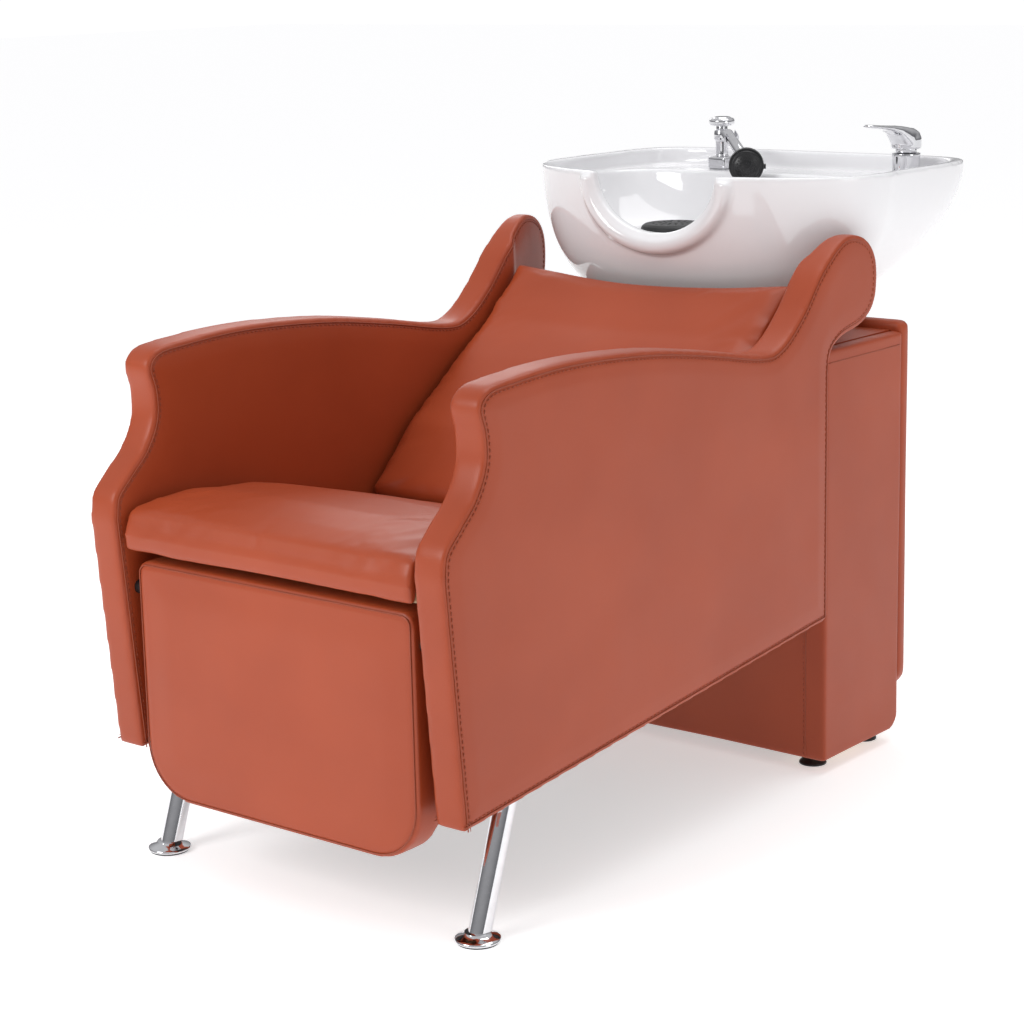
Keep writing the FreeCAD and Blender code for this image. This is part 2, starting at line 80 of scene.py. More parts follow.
def new_material(name, color, roughness, metallic=0.0, **sockets):
    """A Principled material; the sockets given by keyword are set by their names."""
    material = bpy.data.materials.new(name)
    material.use_nodes = True
    shader = material.node_tree.nodes["Principled BSDF"]
    shader.inputs["Base Color"].default_value = (*color, 1)
    shader.inputs["Roughness"].default_value = roughness
    shader.inputs["Metallic"].default_value = metallic
    for socket, value in sockets.items():
        shader.inputs[socket.replace("_", " ")].default_value = value
    return material


def add_node(material, kind, **values):
    """A node with some of its sockets set by name."""
    node = material.node_tree.nodes.new(kind)
    for socket, value in values.items():
        node.inputs[socket.replace("_", " ")].default_value = value
    return node


def link(material, source, target):
    material.node_tree.links.new(source, target)


def object_coordinates(material):
    return add_node(material, "ShaderNodeTexCoord").outputs["Object"]


def vary_color(material, dark, light, scale, detail=4.0, stretch=None):
    """Mottle the base colour between two tones with noise."""
    where = object_coordinates(material)
    if stretch:
        mapping = add_node(material, "ShaderNodeMapping")
        mapping.inputs["Scale"].default_value = stretch
        link(material, where, mapping.inputs["Vector"])
        where = mapping.outputs["Vector"]
    tones = add_node(material, "ShaderNodeTexNoise", Scale=scale, Detail=detail)
    link(material, where, tones.inputs["Vector"])
    ramp = add_node(material, "ShaderNodeValToRGB")
    ramp.color_ramp.elements[0].position = 0.3
    ramp.color_ramp.elements[1].position = 0.7
    ramp.color_ramp.elements[0].color = (*dark, 1)
    ramp.color_ramp.elements[1].color = (*light, 1)
    link(material, tones.outputs["Fac"], ramp.inputs["Fac"])
    shader = material.node_tree.nodes["Principled BSDF"]
    link(material, ramp.outputs["Color"], shader.inputs["Base Color"])


def vary_roughness(material, low, high, scale):
    shader = material.node_tree.nodes["Principled BSDF"]
    patches = add_node(material, "ShaderNodeTexNoise", Scale=scale, Detail=3.0)
    link(material, object_coordinates(material), patches.inputs["Vector"])
    spread = add_node(material, "ShaderNodeMapRange")
    spread.inputs["To Min"].default_value = low
    spread.inputs["To Max"].default_value = high
    link(material, patches.outputs["Fac"], spread.inputs["Value"])
    link(material, spread.outputs["Result"], shader.inputs["Roughness"])


def add_bump(material, texture, output, scale, strength, distance, below=None, **extra):
    """A bump from one texture; several are chained through below."""
    shader = material.node_tree.nodes["Principled BSDF"]
    pattern = add_node(material, texture, Scale=scale, **extra)
    link(material, object_coordinates(material), pattern.inputs["Vector"])
    bump = add_node(material, "ShaderNodeBump", Strength=strength, Distance=distance)
    link(material, pattern.outputs[output], bump.inputs["Height"])
    if below:
        link(material, below.outputs["Normal"], bump.inputs["Normal"])
    link(material, bump.outputs["Normal"], shader.inputs["Normal"])
    return bump


LEATHER_DARK = (0.345, 0.054, 0.016)
LEATHER_LIGHT = (0.395, 0.065, 0.020)


def make_leather():
    material = new_material("leather", LEATHER_LIGHT, 0.42, Coat_Weight=0.05,
                            Coat_Roughness=0.3, Specular_IOR_Level=0.34)
    vary_color(material, LEATHER_DARK, LEATHER_LIGHT, 5.0)
    vary_roughness(material, 0.36, 0.48, 14.0)
    folds = add_bump(material, "ShaderNodeTexNoise", "Fac", 7.0, 0.25, 0.003, Detail=2.0)
    pebbles = add_bump(material, "ShaderNodeTexVoronoi", "Distance", 780.0, 0.16, 0.0003, folds)
    add_bump(material, "ShaderNodeTexNoise", "Fac", 2400.0, 0.10, 0.0002, pebbles)
    return material


def make_thread():
    material = new_material("thread", (0.3, 0.055, 0.02), 0.6)
    vary_color(material, (0.26, 0.045, 0.016), (0.34, 0.066, 0.024), 700.0)
    add_bump(material, "ShaderNodeTexNoise", "Fac", 3000.0, 0.5, 0.0003)
    return material


def make_ceramic():
    material = new_material("ceramic", (0.86, 0.855, 0.87), 0.07, Coat_Weight=0.5,
                            Coat_Roughness=0.03)
    vary_color(material, (0.84, 0.835, 0.85), (0.875, 0.87, 0.885), 6.0)
    add_bump(material, "ShaderNodeTexNoise", "Fac", 30.0, 0.05, 0.0006)
    return material


def make_metal(name, color, roughness, rough_range):
    material = new_material(name, color, roughness, metallic=1.0)
    vary_roughness(material, *rough_range, 60.0)
    vary_color(material, tuple(0.93 * part for part in color), color, 90.0)
    add_bump(material, "ShaderNodeTexNoise", "Fac", 300.0, 0.03, 0.0002)
    return material


def make_plain(name, dark, light, rough_range, grain_scale, grain, **sockets):
    material = new_material(name, light, rough_range[0], **sockets)
    vary_color(material, dark, light, 40.0)
    vary_roughness(material, *rough_range, 80.0)
    add_bump(material, "ShaderNodeTexNoise", "Fac", grain_scale, grain, 0.0004)
    return material


def make_timber():
    material = new_material("timber", (0.6, 0.42, 0.25), 0.6)
    vary_color(material, (0.42, 0.27, 0.14), (0.66, 0.48, 0.29), 12.0, stretch=(1, 9, 9))
    add_bump(material, "ShaderNodeTexNoise", "Fac", 260.0, 0.3, 0.0005)
    return material


MATERIALS = {
    "leather": make_leather(),
    "thread": make_thread(),
    "ceramic": make_ceramic(),
    "chrome": make_metal("chrome", (0.74, 0.74, 0.76), 0.06, (0.04, 0.09)),
    "zinc_steel": make_metal("zinc_steel", (0.55, 0.56, 0.57), 0.3, (0.22, 0.38)),
    "brass": make_metal("brass", (0.70, 0.50, 0.22), 0.25, (0.2, 0.3)),
    "black_steel": make_plain("black_steel", (0.010, 0.010, 0.011), (0.018, 0.018, 0.019),
                              (0.35, 0.5), 900.0, 0.2),
    "black_plastic": make_plain("black_plastic", (0.006, 0.006, 0.007), (0.013, 0.013, 0.014),
                                (0.28, 0.4), 1200.0, 0.15),
    "black_rubber": make_plain("black_rubber", (0.014, 0.014, 0.015), (0.026, 0.026, 0.027),
                               (0.5, 0.65), 700.0, 0.25),
    "white_plastic": make_plain("white_plastic", (0.72, 0.72, 0.70), (0.8, 0.8, 0.78),
                                (0.3, 0.45), 500.0, 0.1),
    "black_cloth": make_plain("black_cloth", (0.012, 0.012, 0.013), (0.03, 0.03, 0.031),
                              (0.85, 0.95), 1500.0, 0.6),
    "timber": make_timber(),
}


def finish_nodes():
    """Give every CAD node its slot's material."""
    for entry in frame["record"]["subparts"]:
        node = NODES[entry["node"]]
        node.data.materials.clear()
        node.data.materials.append(MATERIALS[entry["material_slot"]])


# ---------------------------------------------------------------- mesh helpers

def link_mesh(name, mesh, material, body):
    """A piece from a mesh, with its material, riding on its body."""
    piece = bpy.data.objects.new(name, mesh)
    bpy.context.scene.collection.objects.link(piece)
    mesh.materials.clear()
    mesh.materials.append(MATERIALS[material])
    for face in mesh.polygons:
        face.use_smooth = True
    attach(piece, body)
    return piece


def mesh_from(name, points, faces):
    mesh = bpy.data.meshes.new(name)
    mesh.from_pydata([tuple(point) for point in points], [], faces)
    mesh.update()
    return mesh


def apply_modifiers(mesh, *steps):
    """The mesh after modifiers, each given as (kind, {setting: value})."""
    holder = bpy.data.objects.new("modifier_holder", mesh)
    bpy.context.scene.collection.objects.link(holder)
    for number, (kind, values) in enumerate(steps):
        modifier = holder.modifiers.new(f"step_{number}", kind)
        for setting, value in values.items():
            setattr(modifier, setting, value)
    graph = bpy.context.evaluated_depsgraph_get()
    result = bpy.data.meshes.new_from_object(holder.evaluated_get(graph))
    bpy.data.objects.remove(holder)
    return result


def remeshed(mesh, voxel, smooth=6, factor=0.5):
    return apply_modifiers(
        mesh,
        ("REMESH", {"mode": "VOXEL", "voxel_size": voxel, "use_smooth_shade": True}),
        ("SMOOTH", {"factor": factor, "iterations": smooth}))


def bevelled(mesh, width, segments=3, angle=30):
    return apply_modifiers(
        mesh,
        ("BEVEL", {"width": width, "segments": segments, "limit_method": "ANGLE",
                   "angle_limit": math.radians(angle), "harden_normals": False}))


def get_points(mesh):
    points = np.empty(len(mesh.vertices) * 3)
    mesh.vertices.foreach_get("co", points)
    return points.reshape(-1, 3)


def set_points(mesh, points):
    mesh.vertices.foreach_set("co", points.ravel())
    mesh.update()


def split_points(mesh):
    """The mesh's points in millimetres, as arrays of x, station and level."""
    points = get_points(mesh) * 1000
    return points[:, 0], points[:, 1] + HALF_LENGTH, points[:, 2]


def join_points(mesh, x, station, level):
    set_points(mesh, np.stack([x, station - HALF_LENGTH, level], 1) / 1000)


def get_normals(mesh):
    return np.array([vertex.normal for vertex in mesh.vertices])


def soft_noise(points, scale, seed):
    """Smooth noise for every point, from about -1 to 1."""
    shift = Vector((seed, 2 * seed, 3 * seed))
    return np.array([noise.noise(Vector(point) * scale + shift) for point in points])


def crease(mesh, amount, scale, seed):
    """Push points along their normals by soft noise."""
    points = get_points(mesh)
    push = soft_noise(points, scale, seed) * amount
    set_points(mesh, points + get_normals(mesh) * push[:, None])


def smooth_line(corners, steps=8):
    """Points along a Catmull-Rom curve through the corners."""
    corners = [np.array(corner, float) for corner in corners]
    ends = [2 * corners[0] - corners[1], *corners, 2 * corners[-1] - corners[-2]]
    line = []
    for number in range(1, len(ends) - 2):
        before, start, end, after = ends[number - 1:number + 3]
        for step in range(steps):
            t = step / steps
            line.append(0.5 * (2 * start + (end - before) * t
                               + (2 * before - 5 * start + 4 * end - after) * t * t
                               + (3 * start - before - 3 * end + after) * t ** 3))
    line.append(corners[-1])
    return line


def even_points(line, gap):
    """The line resampled at even gaps."""
    line = np.array(line, float)
    lengths = np.r_[0, np.cumsum(np.linalg.norm(np.diff(line, axis=0), axis=1))]
    count = max(2, int(round(lengths[-1] / gap)) + 1)
    where = np.linspace(0, lengths[-1], count)
    return np.stack([np.interp(where, lengths, line[:, k]) for k in range(line.shape[1])], 1)


def inset_line(line, amount):
    """A flat line moved to its left side by an amount."""
    direction = np.gradient(line, axis=0)
    direction /= np.linalg.norm(direction, axis=1)[:, None]
    return line + np.stack([-direction[:, 1], direction[:, 0]], 1) * amount


def line_distance(points, line):
    """The distance of flat points from a polyline."""
    best = np.full(len(points), 1e9)
    for start, end in zip(line[:-1], line[1:]):
        run = end - start
        share = np.clip((points - start) @ run / max(run @ run, 1e-12), 0, 1)
        gap = np.linalg.norm(points - start - share[:, None] * run, axis=1)
        best = np.minimum(best, gap)
    return best


def prism(name, outline, low, high, axis=0):
    """A solid between two levels of one axis, from a flat outline in the other two."""
    count = len(outline)
    points = []
    for level in (low, high):
        for pair in outline:
            point = list(pair)
            point.insert(axis, level)
            points.append(point)
    faces = [tuple(range(count))[::-1], tuple(range(count, 2 * count))]
    for k in range(count):
        following = (k + 1) % count
        faces.append((k, following, count + following, count + k))
    return mesh_from(name, points, faces)


def face_outwards(mesh):
    """Make every face of a closed mesh look outwards."""
    work = bmesh.new()
    work.from_mesh(mesh)
    bmesh.ops.recalc_face_normals(work, faces=work.faces)
    work.to_mesh(mesh)
    work.free()


def lathe_mesh(name, profile, steps=72):
    """A mesh turned about Z from (radius, level) in millimetres."""
    points, faces = [], []
    for step in range(steps):
        angle = 2 * math.pi * step / steps
        for radius, level in profile:
            points.append((radius * math.cos(angle) / 1000, radius * math.sin(angle) / 1000,
                           level / 1000))
    count = len(profile)
    for step in range(steps):
        following = (step + 1) % steps
        for k in range(count - 1):
            faces.append((step * count + k, following * count + k,
                          following * count + k + 1, step * count + k + 1))
    mesh = mesh_from(name, points, faces)
    work = bmesh.new()
    work.from_mesh(mesh)
    bmesh.ops.remove_doubles(work, verts=work.verts, dist=1e-6)
    bmesh.ops.recalc_face_normals(work, faces=work.faces)
    work.to_mesh(mesh)
    work.free()
    return mesh


def lathe(name, profile, base, material, body, direction=(0, 0, 1), edge=0.8):
    mesh = bevelled(lathe_mesh(name, profile), edge / 1000)
    turn = Vector((0, 0, 1)).rotation_difference(Vector(direction)).to_matrix().to_4x4()
    mesh.transform(Matrix.Translation(base) @ turn)
    return link_mesh(name, mesh, material, body)


def tube_mesh(name, line, radius, sides=10, closed=False):
    """A round tube along points in metres."""
    line = [Vector(point) for point in line]
    points, faces = [], []
    side = None
    for number, point in enumerate(line):
        if closed:
            run = line[(number + 1) % len(line)] - line[number - 1]
        else:
            run = line[min(number + 1, len(line) - 1)] - line[max(number - 1, 0)]
        run.normalize()
        side = side - run * side.dot(run) if side else run.orthogonal()
        side.normalize()
        other = run.cross(side)
        for k in range(sides):
            angle = 2 * math.pi * k / sides
            points.append(point + radius * (side * math.cos(angle) + other * math.sin(angle)))
    rings = len(line)
    for ring in range(rings if closed else rings - 1):
        following = (ring + 1) % rings
        for k in range(sides):
            beside = (k + 1) % sides
            faces.append((ring * sides + k, ring * sides + beside,
                          following * sides + beside, following * sides + k))
    if not closed:
        faces.append(tuple(range(sides))[::-1])
        faces.append(tuple(range((rings - 1) * sides, rings * sides)))
    return mesh_from(name, points, faces)


def join_meshes(name, meshes):
    """One mesh from several."""
    work = bmesh.new()
    for mesh in meshes:
        work.from_mesh(mesh)
    joined = bpy.data.meshes.new(name)
    work.to_mesh(joined)
    work.free()
    return joined


def stitch_mesh(name, line, normal, radius=0.00055, length=0.0048, gap=0.0082):
    """A row of short stitches that follow a line on a surface with the given normal."""
    places = even_points([tuple(point) for point in line], gap)
    rows = []
    for before, after in zip(places[:-1], places[1:]):
        start = Vector(before)
        run = (Vector(after) - start).normalized() * length
        rise = Vector(normal) * radius * 0.5
        rows.append(tube_mesh("stitch", [start, start + run * 0.5 + rise, start + run],
                              radius, sides=5))
    return join_meshes(name, rows)


# ---------------------------------------------------------------- arms

ARM_CURVE = [
    (2, 488), (8, 520), (34, 547), (64, 576), (83, 612), (84, 648), (76, 682), (94, 703),
    (140, 710), (264, 715), (424, 705), (560, 685), (690, 662), (740, 670), (790, 708),
    (840, 762), (900, 801), (955, 795), (986, 760), (984, 704), (950, 673), (894, 659),
    (866, 640), (861, 612)]


def arm_outline():
    """The arm's side outline as even flat points of station and level."""
    curve = smooth_line(ARM_CURVE)
    corners = [(30, underside(30)), *curve, (860, underside(860)), (30, underside(30))]
    return even_points(corners, 6)[:-1]


def arm_inner_x(station, level):
    """Where the arm's inner face lies: it slopes outwards beyond the back cushion."""
    reach = np.clip(station - 850, 0, None)
    taper = 44 / 158 * reach + 5 * smoothstep(reach, 0, 18)
    return ARM_INNER + taper * smoothstep(level, 600, 650)


def shape_arm(points, outline):
    """Taper the wing, puff the faces, and press the seam lines in."""
    x = points[:, 0] * 1000
    station = points[:, 1] * 1000 + HALF_LENGTH
    level = points[:, 2] * 1000
    flat = np.stack([station, level], 1)
    closed = np.vstack([outline, outline[:1]])
    depth = line_distance(flat, closed)
    middle = (ARM_INNER + ARM_OUTER) / 2
    outward = np.sign(x - middle) * smoothstep(np.abs(x - middle), 12, 22)
    groove = np.exp(-((depth - SEAM_INSET) / 2.6) ** 2)
    puff = 1.6 * smoothstep(depth, 8, 34) - 1.5 * groove
    wave = soft_noise(points, 7.0, 3) * 0.9 * smoothstep(depth, 8, 60)
    x = x + outward * (puff + wave)
    share = (ARM_OUTER - x) / (ARM_OUTER - ARM_INNER)
    x = ARM_OUTER - share * (ARM_OUTER - arm_inner_x(station, level))
    points[:, 0] = x / 1000
    return points


def make_arm(side_name, side):
    outline = arm_outline()
    flat = [((s - HALF_LENGTH) / 1000, level / 1000) for s, level in outline]
    solid = prism("arm", flat, ARM_INNER / 1000, ARM_OUTER / 1000)
    mesh = remeshed(solid, 0.0036, smooth=24)
    set_points(mesh, shape_arm(get_points(mesh), outline))
    mesh = apply_modifiers(mesh, ("SMOOTH", {"factor": 0.5, "iterations": 2}))
    if side < 0:
        mesh.transform(Matrix.Scale(-1, 4, (1, 0, 0)))
        mesh.flip_normals()
    name = "arm_upholstery_" + side_name
    arm = link_mesh(name, mesh, "leather", "frame")
    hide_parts("arm_cover_" + side_name, "arm_core_" + side_name)
    make_arm_seams(side_name, side, outline)


def make_arm_seams(side_name, side, outline):
    """The seam and its stitches round both faces of an arm."""
    closed = np.vstack([outline, outline[:1]])
    seam = inset_line(closed, -SEAM_INSET)
    stitched = inset_line(closed, -SEAM_INSET - 3.4)
    threads, welts = [], []
    for face_x, direction in ((ARM_OUTER, 1), (ARM_INNER, -1)):
        for line, kind in ((seam, "welt"), (stitched, "stitch")):
            placed = []
            for station, level in line:
                x = face_x
                if direction < 0:
                    x = float(arm_inner_x(np.array(station), np.array(level)))
                lift = -0.9 if kind == "welt" else 0.0
                placed.append(at(side * (x + direction * lift), station, level))
            if kind == "welt":
                welts.append(tube_mesh("welt", placed, SEAM_RADIUS, sides=6))
            else:
                threads.append(stitch_mesh("thread", placed, (side * direction, 0, 0)))
    link_mesh("arm_seam_" + side_name, join_meshes("seam", welts), "thread", "frame")
    link_mesh("arm_stitches_" + side_name, join_meshes("stitches", threads), "thread",
              "frame")


# ---------------------------------------------------------------- cushions

def inflate(mesh, cap, hold=0.0, pressure=4.0, frames=20):
    """Swell a closed mesh as padded cloth, by at most cap, and only above the height hold."""
    holder = bpy.data.objects.new("cloth_holder", mesh)
    bpy.context.scene.collection.objects.link(holder)
    cloth = holder.modifiers.new("cloth", "CLOTH")
    cloth.settings.use_pressure = True
    cloth.settings.uniform_pressure_force = pressure
    cloth.settings.effector_weights.gravity = 0
    cloth.settings.quality = 5
    cloth.settings.tension_stiffness = 15
    cloth.settings.compression_stiffness = 15
    cloth.settings.bending_stiffness = 0.5
    cloth.point_cache.frame_start = 1
    cloth.point_cache.frame_end = frames
    before = get_points(mesh).copy()
    scene = bpy.context.scene
    for number in range(1, frames + 1):
        scene.frame_set(number)
    graph = bpy.context.evaluated_depsgraph_get()
    swollen = bpy.data.meshes.new_from_object(holder.evaluated_get(graph))
    move = get_points(swollen) - before
    bpy.data.objects.remove(holder)
    scene.frame_set(1)
    length = np.linalg.norm(move, axis=1)
    share = np.minimum(1, cap / np.maximum(length, 1e-9))
    share *= smoothstep(before[:, 2], hold, hold + 0.02)
    set_points(swollen, before + move * share[:, None])
    return swollen


SEAT_HALF = 252
CUSHION_REACH = 258              # the furthest that a swollen cushion goes across
SEAT_PROFILE = [
    (9, 449), (8, 470), (9, 490), (18, 499), (60, 505), (120, 508), (226, 498), (365, 467),
    (470, 436), (476, 410), (21, 466), (21, 449)]
BACK_PROFILE = [
    (490, 441), (574, 527), (693, 615), (766, 662), (836, 728), (850, 741), (862, 735),
    (850, 694), (516, 404)]


def profile_solid(profile, half):
    """A cushion's solid from its side outline of station and level."""
    flat = [((s - HALF_LENGTH) / 1000, level / 1000) for s, level in profile]
    return prism("cushion", flat[::-1], -half / 1000, half / 1000)


def upright_slab(name, outline, front, back):
    """A solid between two stations, from an outline of x and level."""
    flat = [(x / 1000, level / 1000) for x, level in outline]
    solid = prism(name, flat, (front - HALF_LENGTH) / 1000, (back - HALF_LENGTH) / 1000, axis=1)
    face_outwards(solid)
    return solid


def make_seat():
    """Seat cushion: a crowned pad that hangs over the front edge of its board."""
    mesh = remeshed(profile_solid(SEAT_PROFILE, SEAT_HALF), 0.005, smooth=4)
    mesh = inflate(mesh, 0.005, hold=0.47)
    x, station, level = split_points(mesh)
    crown = 9 * np.cos(np.clip(x / SEAT_HALF, -1, 1) * math.pi / 2) ** 0.7
    on_top = smoothstep(level, 462 - 0.125 * station, 496 - 0.125 * station)
    level = level + on_top * crown * smoothstep(station, 20, 120)
    low = np.where(station > 21, 450 - 0.125 * (station - 14) + 15.5, 448.5)
    level = np.maximum(level, low)
    fold = np.exp(-((level - 492) / 4.0) ** 2) * (1 - smoothstep(station, 20, 30))
    station = station + 1.6 * fold
    join_points(mesh, np.clip(x, -CUSHION_REACH, CUSHION_REACH), station, level)
    wrinkle(mesh, 0.0022, ((-205, 50, 0.8), (225, 90, 1.0), (-60, 430, 0.3), (190, 330, 0.3)))
    mesh = apply_modifiers(mesh, ("SMOOTH", {"factor": 0.4, "iterations": 2}),
                           ("SUBSURF", {"levels": 1}))
    seat = link_mesh("seat_upholstery", mesh, "leather", "frame")
    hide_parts("seat_cushion")


FOLD_AXES = np.array([[24.0, 9.0, 0.0], [-18.0, 12.0, 0.0], [-14.0, 9.0, 12.0]])


def wrinkle(mesh, depth, places, spread=110):
    """Sets of fine creases that fan out from places given as x, station, strength."""
    points = get_points(mesh)
    normals = get_normals(mesh)
    push = soft_noise(points, 6.0, 11) * depth * 0.8
    for number, (x, station, strength) in enumerate(places):
        gap = np.hypot(points[:, 0] * 1000 - x, points[:, 1] * 1000 + HALF_LENGTH - station)
        weight = np.exp(-(gap / spread) ** 2) * strength
        stretched = points @ FOLD_AXES
        ridges = 1 - 2 * np.abs(soft_noise(stretched, 1.0, 20 + number))
        push += weight * depth * ridges
    set_points(mesh, points + normals * push[:, None])


def make_back():
    """Back cushion: a long pad with a sagging top edge and loose folds at its sides."""
    mesh = remeshed(profile_solid(BACK_PROFILE, SEAT_HALF), 0.006, smooth=5)
    mesh = inflate(mesh, 0.005)
    x, station, level = split_points(mesh)
    middle = np.cos(np.clip(x / SEAT_HALF, -1, 1) * math.pi / 2) ** 1.2
    top = smoothstep(level, 640, 745)
    level = level - 17 * middle * top
    station = np.minimum(station, 866)
    join_points(mesh, np.clip(x, -CUSHION_REACH, CUSHION_REACH), station, level)
    wrinkle(mesh, 0.0022, ((225, 770, 1.0), (-235, 800, 0.8), (-215, 520, 0.5)), spread=60)
    mesh = apply_modifiers(mesh, ("SMOOTH", {"factor": 0.4, "iterations": 2}),
                           ("SUBSURF", {"levels": 1}))
    back = link_mesh("back_upholstery", mesh, "leather", "frame")
    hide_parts("back_cushion")


def rounded_rectangle(low, high, radii, steps=10):
    """Flat outline of a rectangle with a radius for each corner, from the lower left."""
    (left, bottom), (right, top) = low, high
    centres = [(left, bottom, 1, 1, 180), (right, bottom, -1, 1, 270),
               (right, top, -1, -1, 0), (left, top, 1, -1, 90)]
    outline = []
    for (x, z, toward_x, toward_z, start), radius in zip(centres, radii):
        for step in range(steps + 1):
            angle = math.radians(start + 90 * step / steps)
            outline.append((x + toward_x * radius + radius * math.cos(angle),
                            z + toward_z * radius + radius * math.sin(angle)))
    return outline


def make_footrest():
    """Footrest pad: a firm slab with a boxed edge and a seam round its face."""
    front, back = 21, 69
    outline = rounded_rectangle((-243, 107), (243, 434), (76, 76, 18, 18))
    mesh = remeshed(upright_slab("footrest", outline, front, back), PANEL_VOXEL, smooth=8)
    points = get_points(mesh)
    edge = np.array(outline + outline[:1])
    depth = line_distance(points[:, [0, 2]] * 1000, edge)
    on_front = 1 - smoothstep(points[:, 1] * 1000 + HALF_LENGTH, 28, 40)
    groove = np.exp(-((depth - 5) / 2.4) ** 2)
    push = on_front * (2.4 * smoothstep(depth, 6, 60) - 1.2 * groove)
    push += on_front * soft_noise(points, 6.0, 5) * 1.1 * smoothstep(depth, 6, 50)
    points[:, 1] -= push / 1000
    set_points(mesh, points)
    pad = link_mesh("footrest_upholstery", mesh, "leather", "footrest")
    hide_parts("footrest_pad", "footrest_board")
    seam = inset_line(edge, 5)
    line = [at(x, front + 0.6, z) for x, z in seam]
    link_mesh("footrest_seam", tube_mesh("seam", line, SEAM_RADIUS, sides=6), "thread", "footrest")


# ---------------------------------------------------------------- pedestal

def make_pedestal():
    """The wrap round the front and sides, the lid, and the padded cover at the back."""
    half, inner = 297, 275
    front, thick, back = 873, 895, 1086
    low, high = 20, 642
    plan = [(-half, back), (-half, front), (half, front), (half, back), (inner, back),
            (inner, thick), (-inner, thick), (-inner, back)]
    flat = [(x / 1000, (s - HALF_LENGTH) / 1000) for x, s in plan]
    solid = prism("wrap", flat, low / 1000, high / 1000, axis=2)
    face_outwards(solid)
    mesh = remeshed(solid, PANEL_VOXEL, smooth=6)
    points = get_points(mesh)
    station, level = points[:, 1] * 1000 + HALF_LENGTH, points[:, 2] * 1000
    corner = 34
    reach = np.clip(station - (back - corner), 0, corner)
    rise = corner - np.sqrt(np.maximum(corner ** 2 - reach ** 2, 0))
    points[:, 2] = np.maximum(level, low + rise) / 1000
    set_points(mesh, points)
    crease(mesh, 0.0009, 6.0, 31)
    wrap = link_mesh("pedestal_upholstery", mesh, "leather", "frame")
    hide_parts("pedestal_front", "pedestal_side_left", "pedestal_side_right")
    seams = []
    stitches = []
    for side in (-1, 1):
        line = [at(side * 264, front - 0.2, z) for z in range(26, 637, 10)]
        seams.append(tube_mesh("seam", line, SEAM_RADIUS, sides=6))
        beside = [at(side * 260.5, front - 0.3, z) for z in range(26, 637, 10)]
        stitches.append(stitch_mesh("stitch", beside, (0, -1, 0)))
        top = [at(side * (half + 0.2), s, 622) for s in range(878, 1081, 10)]
        seams.append(tube_mesh("seam", top, SEAM_RADIUS, sides=6))
    link_mesh("pedestal_seams", join_meshes("seams", seams), "thread", "frame")
    link_mesh("pedestal_stitches", join_meshes("stitches", stitches), "thread", "frame")
    lid = NODES["pedestal_top"].data.copy()
    top = link_mesh("pedestal_lid_upholstery", bevelled(lid, 0.002), "leather", "frame")
    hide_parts("pedestal_top")
    make_rear_cover(half)


def make_rear_cover(half):
    """The padded cover behind the pedestal, with a seam round its rear face."""
    front, back = 1086.5, 1111
    outline = rounded_rectangle((-half + 1, 79), (half - 1, 656), (34, 34, 12, 12))
    mesh = remeshed(upright_slab("cover", outline, front, back), PANEL_VOXEL, smooth=6)
    points = get_points(mesh)
    depth = line_distance(points[:, [0, 2]] * 1000, np.array(outline + outline[:1]))
    on_back = smoothstep(points[:, 1] * 1000 + HALF_LENGTH, 1098, 1108)
    points[:, 1] += on_back * 3.0 * smoothstep(depth, 6, 70) / 1000
    set_points(mesh, points)
    crease(mesh, 0.0009, 6.0, 37)
    cover = link_mesh("rear_cover_upholstery", mesh, "leather", "frame")
    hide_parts("rear_cover")
    edge = np.array(outline + outline[:1])
    line = [at(x, back + 0.4, z) for x, z in inset_line(edge, 6)]
    link_mesh("rear_cover_seam", tube_mesh("seam", line, SEAM_RADIUS, sides=6), "thread", "frame")


# ---------------------------------------------------------------- basin

RIM_LEVEL = 883
LIP_HALF = 124                   # half the width of the lip round the neck notch
LIP_DROP = 102
LIP_RADIUS = 0.0145              # metres


def make_basin():
    """The ceramic body with a rolled lip round the neck notch, glazed over soft edges."""
    body = NODES["basin"].data.copy()
    lip = []
    for step in range(33):
        angle = math.pi * step / 32
        x = LIP_HALF * math.cos(angle)
        drop = LIP_DROP * math.sin(angle)
        station = 866 + 3 * math.cos(angle) ** 2
        lip.append(at(x, station, RIM_LEVEL - 7 - drop * 0.97))
    bead = tube_mesh("lip", lip, LIP_RADIUS, sides=20)
    mesh = remeshed(join_meshes("basin", [body, bead]), 0.003, smooth=10)
    basin = link_mesh("basin_glazed", mesh, "ceramic", "basin_head")
    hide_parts("basin")


def make_bellows():
    """Folding rubber gaiter between the pedestal and the basin's tilting plate."""
    steps = 9
    rings = []
    for step in range(steps):
        share = step / (steps - 1)
        spread = 0 if step % 2 else -7
        ring = []
        for x, s in rounded_rectangle((-189 - spread - 7, 933 - spread - 7),
                                      (189 + spread + 7, 1079 + spread + 7),
                                      (18, 18, 18, 18), steps=5):
            x = max(-190, min(190, x))
            s = max(932.5, min(1079.5, s))
            top = 662.5 + (s - 932) * 0.128
            ring.append(at(x, s, 647.4 + (top - 647.4) * share))
        rings.append(ring)
    points = [point for ring in rings for point in ring]
    count = len(rings[0])
    faces = []
    for ring in range(steps - 1):
        for k in range(count):
            beside = (k + 1) % count
            faces.append((ring * count + k, ring * count + beside,
                          (ring + 1) * count + beside, (ring + 1) * count + k))
    mesh = apply_modifiers(mesh_from("bellows", points, faces),
                           ("SOLIDIFY", {"thickness": 0.002, "offset": 0.0}))
    bellows = link_mesh("tilt_gaiter", mesh, "black_rubber", "frame")
    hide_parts("tilt_bellows")
    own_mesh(bellows)


# ---------------------------------------------------------------- chrome and black fittings

